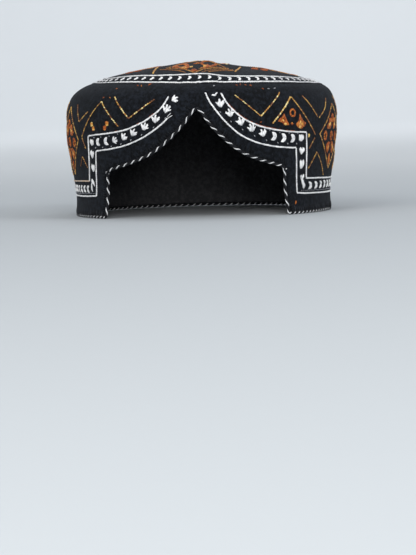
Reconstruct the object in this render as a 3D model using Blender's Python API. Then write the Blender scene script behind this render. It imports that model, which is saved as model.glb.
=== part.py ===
"""Sindhi cap: a stiff black cloth cap with a stepped arch cut out of the front.

Three pieces are sewn together: the side band that goes round the head, the soft crown top,
and the twisted cord that edges the cut-out and the rim. Metres, +Z up, the front faces -Y,
and the cap stands on its rim with the origin on the floor below its middle.
"""

import bisect
import math
from collections import namedtuple

import bmesh
import bpy
from mathutils import Vector

MM = 0.001

# The rim is an oval that fits a head of about 55 cm round.
RIM_HALF_WIDTH = 81.7 * MM
RIM_HALF_LENGTH = 97.0 * MM
BAND_THICKNESS = 2.4 * MM
CROWN_THICKNESS = 2.0 * MM
CORD_DIAMETER = 2.0 * MM
SEWN_GAP = 0.3 * MM
BAND_FOOT = CORD_DIAMETER + SEWN_GAP

# The band's outer face from foot to crown seam: how far it stands out from the rim's oval,
# and how far it drifts to the wearer's left as it rounds over into the shoulder.
Section = namedtuple("Section", "height out drift")
BAND_SECTIONS = [
    Section(height=BAND_FOOT, out=0.0, drift=0.0),
    Section(height=14.0 * MM, out=-0.3 * MM, drift=0.0),
    Section(height=24.0 * MM, out=1.1 * MM, drift=0.0),
    Section(height=35.0 * MM, out=2.9 * MM, drift=0.0),
    Section(height=47.0 * MM, out=4.5 * MM, drift=0.0),
    Section(height=58.0 * MM, out=5.2 * MM, drift=0.0),
    Section(height=66.0 * MM, out=4.6 * MM, drift=0.1 * MM),
    Section(height=71.0 * MM, out=3.5 * MM, drift=0.4 * MM),
    Section(height=75.0 * MM, out=1.8 * MM, drift=0.8 * MM),
    Section(height=78.4 * MM, out=-1.0 * MM, drift=1.9 * MM),
    Section(height=80.9 * MM, out=-4.9 * MM, drift=3.2 * MM),
    Section(height=82.4 * MM, out=-8.6 * MM, drift=4.2 * MM),
]

# Above the girth the cap leans: the crown sits lower on the wearer's left than on the right.
CROWN_LEAN = 0.026
LEAN_START = 55.0 * MM

# The cloth's edge over the brow, measured along the band from the front middle and up from
# the floor: steep below the apex, nearly level at its outer end, then round into the step.
EdgePoint = namedtuple("EdgePoint", "along height")
ARCH_EDGE = [
    EdgePoint(along=0.0, height=68.8 * MM),
    EdgePoint(along=4.2 * MM, height=65.6 * MM),
    EdgePoint(along=8.5 * MM, height=59.4 * MM),
    EdgePoint(along=13.0 * MM, height=54.4 * MM),
    EdgePoint(along=18.0 * MM, height=49.8 * MM),
    EdgePoint(along=23.5 * MM, height=45.3 * MM),
    EdgePoint(along=30.0 * MM, height=41.2 * MM),
    EdgePoint(along=38.0 * MM, height=37.9 * MM),
    EdgePoint(along=47.0 * MM, height=35.2 * MM),
    EdgePoint(along=56.5 * MM, height=33.0 * MM),
    EdgePoint(along=62.3 * MM, height=31.5 * MM),
    EdgePoint(along=65.0 * MM, height=29.8 * MM),
    EdgePoint(along=66.1 * MM, height=26.8 * MM),
]
ARCH_OFFSET = 3.4 * MM
STEP_FOOT = EdgePoint(along=71.0 * MM, height=BAND_FOOT)

# The crown top rises from its seam in a soft roll and then slopes up like a tent.
CROWN_PEAK_HEIGHT = 98.2 * MM
CROWN_TIP_ROUNDING = 0.05
ROLL_REACH = 5.0 * MM
ROLL_SIDE = 2.2 * MM
ROLL_FRONT = 6.0 * MM
ROLL_BACK = 3.5 * MM
Fold = namedtuple("Fold", "x y reach_x reach_y rise")
CROWN_FOLDS = [
    Fold(x=3 * MM, y=-50 * MM, reach_x=10 * MM, reach_y=30 * MM, rise=1.5 * MM),
    Fold(x=22 * MM, y=-18 * MM, reach_x=9 * MM, reach_y=50 * MM, rise=-2.0 * MM),
    Fold(x=33 * MM, y=4 * MM, reach_x=8 * MM, reach_y=22 * MM, rise=0.7 * MM),
    Fold(x=-40 * MM, y=14 * MM, reach_x=16 * MM, reach_y=22 * MM, rise=0.8 * MM),
]

# How finely the faceted solids are divided.
FLANK_COLUMNS = 24
ARCH_COLUMNS = 18
UPPER_ROWS = 11
ROW_CROWDING = 1.4
STEP_ROWS = 4
CROWN_RINGS = 9
RING_CROWDING = 1.5
CORD_SIDES = 8
CORD_STEP = 7.0 * MM
CORNER_STEPS = 4
OVAL_STEPS = 720

CLOTH_BLACK = (0.012, 0.013, 0.017, 1.0)
LINING_BLACK = (0.016, 0.016, 0.018, 1.0)
CORD_GREY = (0.22, 0.22, 0.22, 1.0)


def clear_scene():
    for item in list(bpy.data.objects):
        bpy.data.objects.remove(item)


def cloth_material(name, colour, roughness):
    material = bpy.data.materials.new(name)
    material.use_nodes = True
    shader = material.node_tree.nodes["Principled BSDF"]
    shader.inputs["Base Color"].default_value = colour
    shader.inputs["Roughness"].default_value = roughness
    shader.inputs["Metallic"].default_value = 0.0
    return material


def add_object(name, mesh, material):
    item = bpy.data.objects.new(name, mesh)
    bpy.context.scene.collection.objects.link(item)
    mesh.materials.append(material)
    return item


def catmull_rom(before, start, end, after, t):
    """The smooth value between start and end that leans on their neighbours."""
    return 0.5 * (
        2 * start
        + (end - before) * t
        + (2 * before - 5 * start + 4 * end - after) * t**2
        + (3 * start - before - 3 * end + after) * t**3
    )


def along_table(rows, before, after, t):
    """The smooth row at t of a table, from 0 at its first row to 1 at its last."""
    place = min(max(t, 0.0), 1.0) * (len(rows) - 1)
    i = min(int(place), len(rows) - 2)
    padded = [before, *rows, after]
    near = padded[i : i + 4]
    return type(rows[0])(*(catmull_rom(*values, place - i) for values in zip(*near)))


def band_section(t):
    """The band's section at t, from 0 at its foot to 1 at the crown seam."""
    return along_table(BAND_SECTIONS, BAND_SECTIONS[0], BAND_SECTIONS[-1], t)


def band_place_at(height):
    """The t at which the band's outer face reaches this height."""
    low, high = 0.0, 1.0
    for _ in range(40):
        middle = (low + high) / 2
        if band_section(middle).height < height:
            low = middle
        else:
            high = middle
    return (low + high) / 2


def oval_lengths(half_width, half_length):
    """Running length round an oval from its front, at OVAL_STEPS equal bearings."""
    step = 2 * math.pi / OVAL_STEPS
    lengths = [0.0]
    for i in range(OVAL_STEPS):
        bearing = (i + 0.5) * step
        pace = math.hypot(half_width * math.cos(bearing), half_length * math.sin(bearing))
        lengths.append(lengths[-1] + pace * step)
    return lengths


WIDEST_OUT = max(section.out for section in BAND_SECTIONS)
GIRTH_LENGTHS = oval_lengths(RIM_HALF_WIDTH + WIDEST_OUT, RIM_HALF_LENGTH + WIDEST_OUT)
GIRTH = GIRTH_LENGTHS[-1]


def bearing_of(along):
    """The bearing, from the front, of a point this far round the band's widest girth."""
    wanted = abs(along)
    i = min(bisect.bisect_right(GIRTH_LENGTHS, wanted) - 1, OVAL_STEPS - 1)
    part = (wanted - GIRTH_LENGTHS[i]) / (GIRTH_LENGTHS[i + 1] - GIRTH_LENGTHS[i])
    return math.copysign((i + part) * 2 * math.pi / OVAL_STEPS, along)


def band_point(along, t):
    section = band_section(t)
    bearing = bearing_of(along)
    x = section.drift + (RIM_HALF_WIDTH + section.out) * math.sin(bearing)
    y = -(RIM_HALF_LENGTH + section.out) * math.cos(bearing)
    rise = (section.height - LEAN_START) / (BAND_SECTIONS[-1].height - LEAN_START)
    return Vector((x, y, section.height - CROWN_LEAN * x * max(rise, 0.0) ** 2))


def band_normal(along, t):
    """Outward normal of the band's outer face."""
    side, rise = 0.5 * MM, 0.002
    across = band_point(along + side, t) - band_point(along - side, t)
    up = band_point(along, min(t + rise, 1.0)) - band_point(along, max(t - rise, 0.0))
    return across.cross(up).normalized()


def half_edge():
    """The cloth's edge on one side, as arch points from the apex out and step points down."""
    second, last = ARCH_EDGE[1], ARCH_EDGE[-1]
    mirrored = EdgePoint(-second.along, second.height)
    arch = [along_table(ARCH_EDGE, mirrored, STEP_FOOT, i / ARCH_COLUMNS) for i in range(ARCH_COLUMNS)]
    step = []
    for i in range(STEP_ROWS + 1):
        share = i / STEP_ROWS
        step.append(EdgePoint(*(top + (foot - top) * share for top, foot in zip(last, STEP_FOOT))))
    return arch, step


def on_side(along, side):
    """A distance from the arch's middle, taken to one side; the middle sits off the front's."""
    fade = max(0.0, 1 - abs(along) / STEP_FOOT.along)
    return side * along + ARCH_OFFSET * fade


def side_band_mesh():
    """The outer face: an upper ring of cloth, and a skirt below it round the flanks and back."""
    bm = bmesh.new()
    arch, step = half_edge()
    half = GIRTH / 2

    def upper_column(along, foot_height):
        foot = band_place_at(foot_height)
        column = []
        for row in range(UPPER_ROWS + 1):
            share = 1 - (1 - row / UPPER_ROWS) ** ROW_CROWDING
            column.append(bm.verts.new(band_point(along, foot + (1 - foot) * share)))
        return column

    def flank_column(edge, part, side):
        return on_side(edge + (half - edge) * part, side) if part else on_side(edge, side)

    halves = []
    for side in (-1, 1):
        over_arch = [upper_column(on_side(point.along, side), point.height) for point in arch]
        flank = []
        for i in range(FLANK_COLUMNS + 1):
            part = i / FLANK_COLUMNS
            column = upper_column(flank_column(step[0].along, part, side), step[0].height)
            for point in step[1:]:
                place = band_place_at(point.height)
                vertex = bm.verts.new(band_point(flank_column(point.along, part, side), place))
                column.insert(0, vertex)
            flank.append(column)
        halves.append((side, over_arch + [flank[0][STEP_ROWS:]], flank))
    for side, over_arch, flank in halves:
        for strip in (over_arch, flank):
            for one, two in zip(strip, strip[1:]):
                near, far = (one, two) if side > 0 else (two, one)
                for row in range(len(near) - 1):
                    bm.faces.new((near[row], far[row], far[row + 1], near[row + 1]))
    bmesh.ops.remove_doubles(bm, verts=bm.verts, dist=0.05 * MM)
    mesh = bpy.data.meshes.new("side_band")
    bm.to_mesh(mesh)
    bm.free()
    return mesh


def crown_edge(bearing, inset):
    """A point of the crown's outline, this far inside the seam."""
    seam = BAND_SECTIONS[-1]
    return Vector(
        (
            seam.drift + (RIM_HALF_WIDTH + seam.out - inset) * math.sin(bearing),
            -(RIM_HALF_LENGTH + seam.out - inset) * math.cos(bearing),
        )
    )


def crown_height(x, y, reach, radius, bearing):
    """Height of the crown at a share of the way from its middle to its seam."""
    facing = math.cos(bearing)
    end_roll = ROLL_FRONT if facing > 0 else ROLL_BACK
    roll = ROLL_SIDE + (end_roll - ROLL_SIDE) * facing**2
    rolled = roll * (1 - math.exp(-(1 - reach) * radius / ROLL_REACH))
    tip = CROWN_TIP_ROUNDING
    cone = (math.hypot(reach, tip) - tip) / (math.hypot(1, tip) - tip)
    seam = BAND_SECTIONS[-1].height
    height = seam + rolled + (CROWN_PEAK_HEIGHT - seam - roll) * (1 - cone)
    settled = min(1.0, (1 - reach) * 6)
    for fold in CROWN_FOLDS:
        away = ((x - fold.x) / fold.reach_x) ** 2 + ((y - fold.y) / fold.reach_y) ** 2
        height += fold.rise * math.exp(-away) * settled
    return height - CROWN_LEAN * x


def crown_top_mesh():
    """A polar sheet from the seam to the peak."""
    bm = bmesh.new()
    columns = 2 * FLANK_COLUMNS
    middle = Vector((BAND_SECTIONS[-1].drift, 0.0))
    rings = []
    for ring in range(CROWN_RINGS):
        reach = 1 - (ring / CROWN_RINGS) ** RING_CROWDING
        corners = []
        for i in range(columns):
            bearing = 2 * math.pi * i / columns
            edge = crown_edge(bearing, SEWN_GAP)
            flat = middle + (edge - middle) * reach
            radius = (edge - middle).length
            height = crown_height(flat.x, flat.y, reach, radius, bearing)
            corners.append(bm.verts.new((flat.x, flat.y, height)))
        rings.append(corners)
    peak = bm.verts.new((middle.x, middle.y, crown_height(middle.x, middle.y, 0.0, 0.0, 0.0)))
    for outer, inner in zip(rings, rings[1:]):
        for i in range(columns):
            j = (i + 1) % columns
            bm.faces.new((outer[i], outer[j], inner[j], inner[i]))
    for i in range(columns):
        bm.faces.new((rings[-1][i], rings[-1][(i + 1) % columns], peak))
    mesh = bpy.data.meshes.new("crown_top")
    bm.to_mesh(mesh)
    bm.free()
    return mesh


def thicken(item, thickness):
    """Gives a sheet its cloth thickness, inwards from its outer face."""
    solidify = item.modifiers.new("cloth thickness", "SOLIDIFY")
    solidify.thickness = thickness
    solidify.offset = -1.0
    solidify.use_even_offset = True
    solidify.use_rim = True


def edge_outline():
    """The cloth's edge once round, each point with the way out of the cloth beside it.
    It starts at the arch's apex and goes round by the wearer's left."""
    arch, step = half_edge()
    lines = []
    for side in (1, -1):
        points = [(on_side(point.along, side), point.height) for point in arch + step[:-1]]
        ends = [(on_side(point.along, side), point.height) for point in (arch[1], step[-1])]
        mirrored = (2 * points[0][0] - ends[0][0], ends[0][1])
        padded = [mirrored, *points, ends[1]]
        line = []
        for before, point, after in zip(padded, points, padded[2:]):
            run, rise = after[0] - before[0], after[1] - before[1]
            length = math.hypot(run, rise) * side
            line.append((point, (rise / length, -run / length)))
        corner = (on_side(STEP_FOOT.along, side), STEP_FOOT.height)
        first = math.atan2(line[-1][1][1], line[-1][1][0] * side)
        for i in range(CORNER_STEPS + 1):
            turn = first + (-0.5 * math.pi - first) * i / CORNER_STEPS
            line.append((corner, (math.cos(turn) * side, math.sin(turn))))
        run = side * GIRTH / 2 - corner[0]
        count = math.ceil(abs(run) / CORD_STEP)
        for i in range(1, count + 1):
            line.append(((corner[0] + run * i / count, BAND_FOOT), (0.0, -1.0)))
        lines.append(line)
    left, right = lines
    return left + list(reversed(right[1:-1]))


def edge_cord_mesh():
    """The cord lies along the cloth's cut edge, level with the middle of its thickness.
    One of its flats faces away from the cloth, so that the rim stands on it."""
    reach = CORD_DIAMETER / 2 + SEWN_GAP
    corner_radius = CORD_DIAMETER / 2 / math.cos(math.pi / CORD_SIDES)
    bm = bmesh.new()
    rings = []
    for (along, height), (out_along, out_up) in edge_outline():
        t = band_place_at(height)
        normal = band_normal(along, t)
        level = Vector((0, 0, 1)).cross(normal).normalized()
        up = normal.cross(level)
        if height <= BAND_FOOT and out_along == 0.0:
            normal = Vector((normal.x, normal.y, 0.0)).normalized()
            up = Vector((0, 0, 1))
        out = (level * out_along + up * out_up).normalized()
        centre = band_point(along, t) - normal * (BAND_THICKNESS / 2) + out * reach
        ring = []
        for side in range(CORD_SIDES):
            turn = 2 * math.pi * (side + 0.5) / CORD_SIDES
            spoke = out * math.cos(turn) + normal * math.sin(turn)
            ring.append(bm.verts.new(centre + spoke * corner_radius))
        rings.append(ring)
    for one, two in zip(rings, rings[1:] + rings[:1]):
        for side in range(CORD_SIDES):
            after = (side + 1) % CORD_SIDES
            bm.faces.new((one[side], two[side], two[after], one[after]))
    bmesh.ops.recalc_face_normals(bm, faces=bm.faces)
    mesh = bpy.data.meshes.new("edge_cord")
    bm.to_mesh(mesh)
    bm.free()
    return mesh


def build():
    clear_scene()
    cloth = cloth_material("black_cloth", CLOTH_BLACK, 0.85)
    crown_cloth = cloth_material("crown_cloth", LINING_BLACK, 0.85)
    cord = cloth_material("twisted_cord", CORD_GREY, 0.7)

    side_band = add_object("side_band", side_band_mesh(), cloth)
    thicken(side_band, BAND_THICKNESS)
    crown_top = add_object("crown_top", crown_top_mesh(), crown_cloth)
    thicken(crown_top, CROWN_THICKNESS)
    edge_cord = add_object("edge_cord", edge_cord_mesh(), cord)
    for item in (side_band, crown_top, edge_cord):
        item.data.shade_smooth()


build()
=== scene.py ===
"""Sindhi cap: a stiff black cotton cap with white, gold and orange embroidery.

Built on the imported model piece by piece: the side band, the crown top, the twisted edge cord,
the black sewing that holds them together, and then the embroidery, line by line.
"""
import bisect
import math
import random
from collections import namedtuple

import bpy
import numpy as np
from mathutils import Matrix, Vector
from mathutils.bvhtree import BVHTree


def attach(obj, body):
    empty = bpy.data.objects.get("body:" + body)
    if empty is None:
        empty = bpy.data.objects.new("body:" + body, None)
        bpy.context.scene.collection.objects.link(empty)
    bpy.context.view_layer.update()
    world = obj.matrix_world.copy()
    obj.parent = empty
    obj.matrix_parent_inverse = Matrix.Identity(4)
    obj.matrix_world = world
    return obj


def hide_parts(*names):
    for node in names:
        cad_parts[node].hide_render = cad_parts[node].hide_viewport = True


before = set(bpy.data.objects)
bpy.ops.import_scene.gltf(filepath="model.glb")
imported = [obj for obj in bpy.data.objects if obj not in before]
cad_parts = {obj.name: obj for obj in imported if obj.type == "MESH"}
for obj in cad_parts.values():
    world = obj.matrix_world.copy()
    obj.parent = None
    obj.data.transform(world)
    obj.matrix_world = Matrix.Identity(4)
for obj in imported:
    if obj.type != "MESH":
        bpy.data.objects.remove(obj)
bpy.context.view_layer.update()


# The side band: a strip of stiff black cotton that goes round the head, cut to a stepped arch
# over the brow. It is woven plainly, backed and quilted, so its face is slightly uneven.
MM = 0.001
RIM_HALF_WIDTH = 81.7
RIM_HALF_LENGTH = 97.0
GIRTH_OUT = 5.2
SHOULDER_START = 58.0
SHOULDER_WRAP = 0.45
GRAIN_RADIUS = 94.7
SHARP_EDGE = math.radians(50)
EDGE_CREASE = 0.75
INSIDE_HEIGHT = 30.0
LOOKS_INSIDE = 0.25
COTTON_THREAD = 0.45
COTTON_DEEP = (0.0006, 0.0010, 0.0018, 1.0)
COTTON_WORN = (0.0112, 0.0140, 0.0200, 1.0)
COTTON_LINT = (0.060, 0.066, 0.078, 1.0)
# The backing's colours are much paler than the face cloth's: painted light that brightens the
# shaded inside of the cap.
BACKING_DEEP_PAINTED_LIT = (0.045, 0.046, 0.050, 1.0)
BACKING_WORN_PAINTED_LIT = (0.085, 0.086, 0.092, 1.0)


def pick_only(item):
    bpy.ops.object.select_all(action="DESELECT")
    item.select_set(True)
    bpy.context.view_layer.objects.active = item


def press_on(item, modifier):
    """Applies a modifier to its mesh."""
    pick_only(item)
    bpy.ops.object.modifier_apply(modifier=modifier.name)


def soft_cloth(node_name, piece_name, pucker_depth, pucker_size):
    """A node's cloth as a piece of its own: merged, rounded at its edges and uneven."""
    cloth = bpy.data.objects.new(piece_name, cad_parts[node_name].data.copy())
    bpy.context.scene.collection.objects.link(cloth)
    cloth.data.materials.clear()
    pick_only(cloth)
    bpy.ops.object.mode_set(mode="EDIT")
    bpy.ops.mesh.select_mode(type="EDGE")
    bpy.ops.mesh.select_all(action="SELECT")
    bpy.ops.mesh.remove_doubles(threshold=0.01 * MM)
    bpy.ops.mesh.tris_convert_to_quads(
        face_threshold=SHARP_EDGE, shape_threshold=math.radians(70)
    )
    bpy.ops.mesh.select_all(action="DESELECT")
    bpy.ops.mesh.edges_select_sharp(sharpness=SHARP_EDGE)
    bpy.ops.transform.edge_crease(value=EDGE_CREASE)
    bpy.ops.object.mode_set(mode="OBJECT")
    bpy.ops.mesh.customdata_custom_splitnormals_clear()
    rounding = cloth.modifiers.new("rounded edges", "SUBSURF")
    rounding.levels = rounding.render_levels = 2
    press_on(cloth, rounding)
    unevenness = bpy.data.textures.new("quilted cloth", "CLOUDS")
    unevenness.noise_scale = pucker_size * MM
    unevenness.noise_depth = 2
    puckers = cloth.modifiers.new("puckers", "DISPLACE")
    puckers.texture = unevenness
    puckers.texture_coords = "LOCAL"
    puckers.strength = pucker_depth * MM
    puckers.mid_level = 0.5
    press_on(cloth, puckers)
    bpy.data.textures.remove(unevenness)
    pick_only(cloth)
    bpy.ops.object.shade_smooth()
    return cloth


def spoke_place(x, y):
    """The bearing from the front of a place beside the rim's oval, and how far out it is."""
    bearing, out = math.atan2(x, -y), 0.0
    for _ in range(6):
        sine, cosine = math.sin(bearing), math.cos(bearing)
        miss_x = (RIM_HALF_WIDTH + out) * sine - x
        miss_y = (RIM_HALF_LENGTH + out) * cosine + y
        turn_x, turn_y = (RIM_HALF_WIDTH + out) * cosine, -(RIM_HALF_LENGTH + out) * sine
        scale = turn_x * cosine - sine * turn_y
        bearing -= (miss_x * cosine - sine * miss_y) / scale
        out -= (turn_x * miss_y - turn_y * miss_x) / scale
    return bearing, out


def measure_band(cloth):
    """A UV map in millimetres: along the band from its front middle, and up its face."""
    places = []
    for vertex in cloth.data.vertices:
        x, y, z = vertex.co / MM
        bearing, out = spoke_place(x, y)
        over = SHOULDER_WRAP * max(GIRTH_OUT - out, 0.0) if z > SHOULDER_START else 0.0
        places.append((bearing * GRAIN_RADIUS, z + over))
    whole = 2 * math.pi * GRAIN_RADIUS
    grain = cloth.data.uv_layers.new(name="grain")
    for face in cloth.data.polygons:
        first = places[face.vertices[0]][0]
        for loop, corner in zip(face.loop_indices, face.vertices):
            along, up = places[corner]
            along -= whole * round((along - first) / whole)
            grain.data[loop].uv = (along, up)


class Wire:
    """A shader's socket. A sum that is written with it adds the sum's Math node."""

    def __init__(self, finish, socket):
        self.finish = finish
        self.socket = socket

    def sum(self, operation, *values):
        return self.finish.node(
            "ShaderNodeMath", {"operation": operation}, dict(enumerate(values))
        )

    def __add__(self, other):
        return self.sum("ADD", self, other)

    def __radd__(self, other):
        return self.sum("ADD", other, self)

    def __sub__(self, other):
        return self.sum("SUBTRACT", self, other)

    def __rsub__(self, other):
        return self.sum("SUBTRACT", other, self)

    def __mul__(self, other):
        return self.sum("MULTIPLY", self, other)

    def __rmul__(self, other):
        return self.sum("MULTIPLY", other, self)

    def wave(self):
        return self.sum("SINE", self)

    def rise(self, start, end):
        """Runs smoothly from 0 at start to 1 at end."""
        return self.finish.node(
            "ShaderNodeMapRange",
            {"interpolation_type": "SMOOTHSTEP"},
            {"Value": self, "From Min": start, "From Max": end},
        )


class Finish:
    """A material, put together node by node round its shader."""

    def __init__(self, name, **constants):
        self.material = bpy.data.materials.new(name)
        self.material.use_nodes = True
        self.tree = self.material.node_tree
        self.shader = self.tree.nodes["Principled BSDF"]
        for socket, value in constants.items():
            self.shader.inputs[socket.replace("_", " ")].default_value = value

    def node(self, kind, settings, sockets, output=0):
        made = self.tree.nodes.new(kind)
        for setting, value in settings.items():
            if setting == "stops":
                ramp = made.color_ramp.elements
                ramp[0].position, ramp[1].position = value[0][0], value[-1][0]
                for place, _ in value[1:-1]:
                    ramp.new(place)
                for stop, (_, colour) in zip(ramp, value):
                    stop.color = colour
            else:
                setattr(made, setting, value)
        for socket, value in sockets.items():
            if isinstance(value, Wire):
                self.tree.links.new(value.socket, made.inputs[socket])
            else:
                made.inputs[socket].default_value = value
        return Wire(self, made.outputs[output])

    def mix(self, share, one, other):
        """One colour turning into another; either may be a wire."""
        return self.node("ShaderNodeMix", {"data_type": "RGBA"}, {0: share, 6: one, 7: other}, 2)

    def place(self):
        """Where a point of the piece is, in metres."""
        return self.node("ShaderNodeTexCoord", {}, {}, 3)

    def grain(self):
        """The piece's own map, and the two ways that it runs."""
        grain = self.node("ShaderNodeUVMap", {"uv_map": "grain"}, {})
        return grain, *(self.node("ShaderNodeSeparateXYZ", {}, {0: grain}, way) for way in (0, 1))

    def noise(self, place, scale, detail=2.0, roughness=0.5):
        return self.node(
            "ShaderNodeTexNoise",
            {},
            {"Vector": place, "Scale": scale, "Detail": detail, "Roughness": roughness},
        )

    def feed(self, socket, wire):
        self.tree.links.new(wire.socket, self.shader.inputs[socket])

    def relief(self, height, depth, strength):
        """Raises the surface by up to this depth, in millimetres."""
        bump = self.node(
            "ShaderNodeBump", {}, {"Height": height, "Distance": depth * MM, "Strength": strength}
        )
        self.feed("Normal", bump)


def cotton_finish(name, deep, worn, lint):
    """Plain-woven black cotton: crossing threads, slubs, paler worn patches and lint. The crossing
    threads are painted darker where they dip: painted shade.
    """
    finish = Finish(name, Sheen_Weight=0.035, Sheen_Roughness=0.5, Specular_IOR_Level=0.12)
    finish.shader.inputs["Sheen Tint"].default_value = (0.66, 0.72, 0.84, 1.0)
    grain, along, up = finish.grain()
    wander = finish.noise(grain, 0.35, 2.0) * 1.6
    turn = math.pi / COTTON_THREAD
    weave = ((along + wander) * turn).wave() * ((up + wander) * turn).wave()
    slubs = finish.noise(
        finish.node("ShaderNodeMapping", {}, {"Vector": grain, "Scale": (0.25, 2.2, 1.0)}), 1.0, 3.0
    )
    place = finish.place()
    worn_patches = finish.noise(place, 60.0, 4.0, 0.62).rise(0.35, 0.75)
    nap = finish.noise(place, 430.0, 4.0, 0.72)
    specks = finish.noise(place, 700.0, 2.0, 0.7).rise(0.64, 0.78)
    threads = weave * 0.5 + 0.5
    # Painted shade: the weave's threads make the colour paler where a thread rises and darker where
    # it dips; worn patches, slubs and nap are random tone.
    tone = worn_patches * 0.25 + threads * 0.25 + slubs * 0.25 + nap.rise(0.38, 0.66) * 0.85 - 0.35
    cloth_colour = finish.mix(tone, deep, worn)
    finish.feed("Base Color", finish.mix(specks * 0.35, cloth_colour, lint))
    finish.feed("Roughness", worn_patches * 0.1 + nap * 0.15 + 0.72)
    finish.relief(threads * 0.4 + slubs * 0.4 + nap * 1.6, 0.34, 1.0)
    return finish.material


def line_inside(cloth, backing):
    """Gives the faces that look into the cap the plain backing in place of the face cloth. The
    backing is painted paler than the face cloth: painted light for the shaded inside.
    """
    cloth.data.materials.append(backing)
    middle = Vector((0.0, 0.0, INSIDE_HEIGHT * MM))
    for face in cloth.data.polygons:
        if face.normal.dot((middle - face.center).normalized()) > LOOKS_INSIDE:
            face.material_index = 1


side_band = soft_cloth("side_band", "cotton_side_band", pucker_depth=0.55, pucker_size=17.0)
measure_band(side_band)
side_band.data.materials.append(
    cotton_finish("black_cotton_band", COTTON_DEEP, COTTON_WORN, COTTON_LINT)
)
# Painted light: the backing cloth gets these paler colours so that the shaded inside of the cap
# reads lighter.
backing_cotton_painted_lit = cotton_finish("plain_cotton_backing_painted_lit", BACKING_DEEP_PAINTED_LIT, BACKING_WORN_PAINTED_LIT, BACKING_WORN_PAINTED_LIT)
line_inside(side_band, backing_cotton_painted_lit)
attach(side_band, "root")
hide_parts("side_band")


# The crown top: an oval of the same black cotton, sewn into the band's shoulder all round and
# left a little slack, so that it stands up like a low tent with soft folds.
CROWN_MIDDLE = 4.2
CROWN_HALF_WIDTH = 73.1
CROWN_HALF_LENGTH = 88.4

crown_top = soft_cloth("crown_top", "cotton_crown_top", pucker_depth=0.5, pucker_size=14.0)
crown_grain = crown_top.data.uv_layers.new(name="grain")
for face in crown_top.data.polygons:
    for loop, corner in zip(face.loop_indices, face.vertices):
        x, y, _ = crown_top.data.vertices[corner].co / MM
        crown_grain.data[loop].uv = (x, y)
crown_top.data.materials.append(
    cotton_finish("black_cotton_crown", COTTON_DEEP, COTTON_WORN, COTTON_LINT)
)
line_inside(crown_top, backing_cotton_painted_lit)
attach(crown_top, "root")
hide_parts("crown_top")


# The edge cord: a thick black and a finer white cotton thread twisted together, laid along
# the cut edge of the arch and steps and right round the rim, over the cloth's turned hem.
CORD_RADIUS = 1.0
BLACK_PLY_RADIUS = 0.78
BLACK_PLY_ASIDE = 0.22
WHITE_PLY_RADIUS = 0.36
WHITE_PLY_ASIDE = 0.53
HEM_RADIUS = 0.72
ARCH_PITCH = 6.5
RIM_PITCH = 4.3
RIM_SUNK = 0.82
RIM_TOP = 1.3
PLY_SIDES = 9
CORD_DEPTH = 0.75
CORD_STEP = 0.3
HEM_OFF = 0.1
HEM_STEP = 0.8
BAND_THICKNESS = 2.4
BAND_FOOT = 2.3
SEWN_GAP = 0.3
CROWN_LEAN = 0.026
LEAN_START = 55.0
# The plies' deep colours are partly painted shade for the grooves between their strands.
WHITE_PLY_DEEP = (0.40, 0.41, 0.43, 1.0)
WHITE_PLY = (0.88, 0.88, 0.88, 1.0)
BLACK_PLY_DEEP = (0.0015, 0.0015, 0.0025, 1.0)
BLACK_PLY = (0.011, 0.012, 0.015, 1.0)
Section = namedtuple("Section", "height out drift")
BAND_SECTIONS = [
    Section(*row)
    for row in (
        (BAND_FOOT, 0.0, 0.0), (14.0, -0.3, 0.0), (24.0, 1.1, 0.0), (35.0, 2.9, 0.0),
        (47.0, 4.5, 0.0), (58.0, 5.2, 0.0), (66.0, 4.6, 0.1), (71.0, 3.5, 0.4),
        (75.0, 1.8, 0.8), (78.4, -1.0, 1.9), (80.9, -4.9, 3.2), (82.4, -8.6, 4.2),
    )
]
EdgePoint = namedtuple("EdgePoint", "along height")
ARCH_EDGE = [
    EdgePoint(*place)
    for place in (
        (0.0, 68.8), (4.2, 65.6), (8.5, 59.4), (13.0, 54.4), (18.0, 49.8), (23.5, 45.3),
        (30.0, 41.2), (38.0, 37.9), (47.0, 35.2), (56.5, 33.0), (62.3, 31.5), (65.0, 29.8),
        (66.1, 26.8),
    )
]
ARCH_OFFSET = 3.4
STEP_FOOT = EdgePoint(71.0, BAND_FOOT)
ARCH_POINTS = 96
STEP_POINTS = 16
CORNER_POINTS = 6
RIM_POINTS = 200
GIRTH_STEPS = 1440


def catmull_rom(before, start, end, after, share):
    """The smooth value between start and end that leans on their neighbours."""
    return 0.5 * (
        2 * start
        + (end - before) * share
        + (2 * before - 5 * start + 4 * end - after) * share**2
        + (3 * start - before - 3 * end + after) * share**3
    )


def along_table(rows, before, after, share):
    """The smooth row at a share of a table, from 0 at its first row to 1 at its last."""
    place = min(max(share, 0.0), 1.0) * (len(rows) - 1)
    i = min(int(place), len(rows) - 2)
    near = [before, *rows, after][i : i + 4]
    return type(rows[0])(*(catmull_rom(*values, place - i) for values in zip(*near)))


def band_section(height):
    """The band's section at a height."""
    ends = BAND_SECTIONS[0], BAND_SECTIONS[-1]
    low, high = 0.0, 1.0
    for _ in range(30):
        middle = (low + high) / 2
        if along_table(BAND_SECTIONS, *ends, middle).height < height:
            low = middle
        else:
            high = middle
    return along_table(BAND_SECTIONS, *ends, (low + high) / 2)


girth_lengths = [0.0]
for girth_step in range(GIRTH_STEPS):
    girth_turn = (girth_step + 0.5) * 2 * math.pi / GIRTH_STEPS
    girth_pace = math.hypot(
        (RIM_HALF_WIDTH + GIRTH_OUT) * math.cos(girth_turn),
        (RIM_HALF_LENGTH + GIRTH_OUT) * math.sin(girth_turn),
    )
    girth_lengths.append(girth_lengths[-1] + girth_pace * 2 * math.pi / GIRTH_STEPS)
HALF_GIRTH = girth_lengths[-1] / 2


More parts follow.
